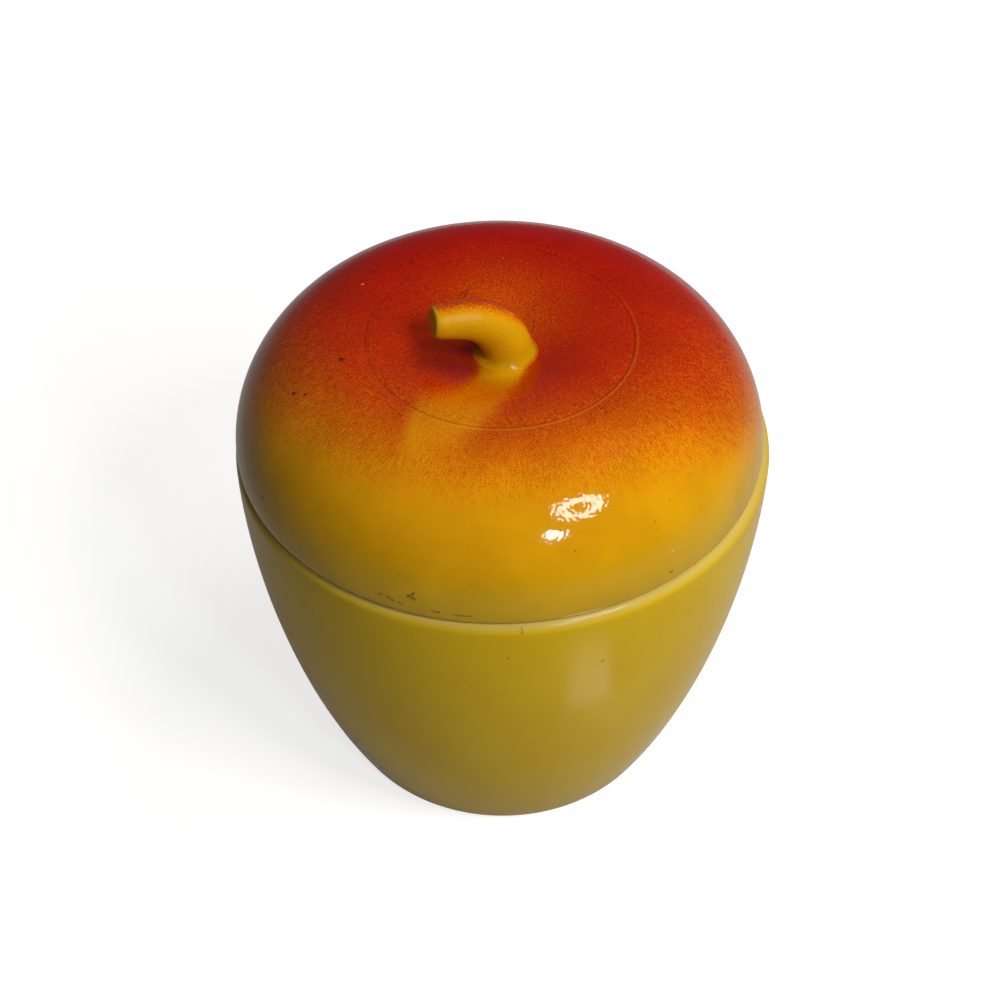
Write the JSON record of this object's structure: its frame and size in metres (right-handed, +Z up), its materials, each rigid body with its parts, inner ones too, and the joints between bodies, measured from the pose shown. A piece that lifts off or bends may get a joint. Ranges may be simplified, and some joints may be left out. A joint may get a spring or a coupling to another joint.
{
  "type": "jam pot",
  "caption": "Apple-shaped glazed earthenware jam pot with a lift-off domed lid and a bent stalk for its knob.",
  "frame": {"origin": "on the table, at the centre of the pot's round foot", "axes": "+Z up along the pot's axis, -X the way the lid's stalk leans"},
  "size_m": [0.092, 0.092, 0.0996],
  "materials": {
    "pot_glaze": "satin mustard-yellow glaze on earthenware, glossier on the lip, bare clay under the foot ring",
    "lid_glaze": "glossy golden-yellow glaze with a sprayed red blush over the top and back",
    "stalk_glaze": "glossy golden-yellow glaze, with the red spray along its upper side"
  },
  "bodies": {
    "pot": {"pot": "pot_glaze"},
    "lid": {"lid": "lid_glaze", "stalk": "stalk_glaze"}
  },
  "joints": [
    {"name": "lid_lift", "type": "slide", "parent": "pot", "child": "lid", "axis": [0, 0, 1], "range_m": [0, 0.07]}
  ]
}
